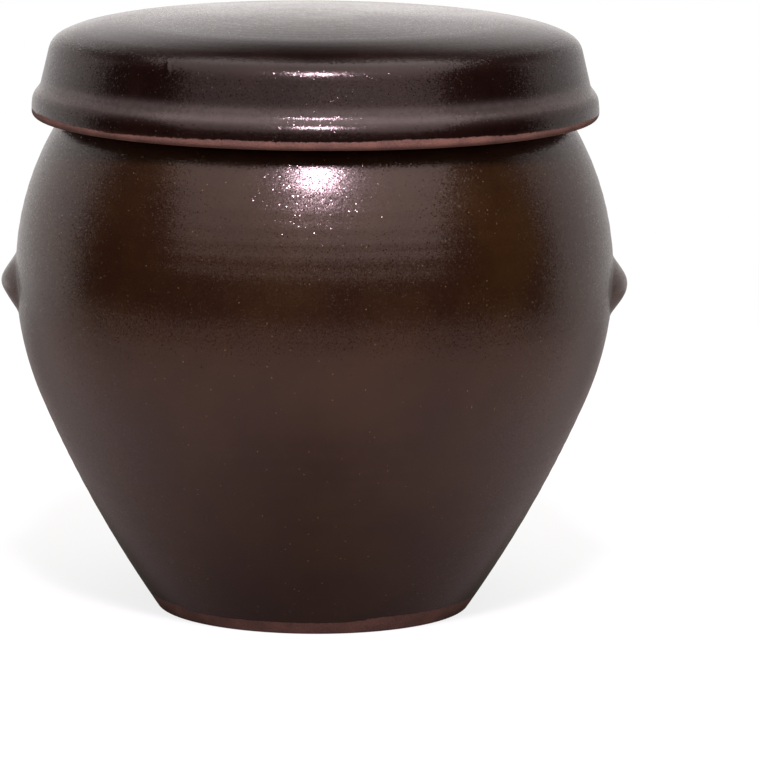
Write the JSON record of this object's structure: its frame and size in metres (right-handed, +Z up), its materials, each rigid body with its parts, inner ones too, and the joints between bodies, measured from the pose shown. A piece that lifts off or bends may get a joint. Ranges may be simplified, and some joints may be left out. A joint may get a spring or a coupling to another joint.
{
  "type": "lidded earthenware jar",
  "caption": "Round-bellied glazed earthenware crock with a small lug on each side, a rolled mouth rim, and a loose cap-shaped lid that hangs over the neck and rests on the rim.",
  "frame": {"origin": "on the table, under the middle of the foot ring", "axes": "+Z up along the turning axis, +X through the right lug, +Y away from the viewer of the front"},
  "size_m": [0.126, 0.12, 0.1198],
  "materials": {
    "jar_glaze": "dark brown satin ash glaze over red-brown earthenware, bare clay on the foot ring",
    "lug_glaze": "dark brown satin ash glaze, thin on the pinched crest",
    "lid_glaze": "dark brown satin ash glaze, bare red-brown clay on the lip's underside and the seat"
  },
  "bodies": {
    "jar": {"jar_body": "jar_glaze", "left_lug": "lug_glaze", "right_lug": "lug_glaze"},
    "lid": {"lid": "lid_glaze"}
  },
  "joints": [
    {"name": "lid_lift", "type": "slide", "parent": "jar", "child": "lid", "axis": [0, 0, 1], "range_m": [0, 0.06]}
  ]
}
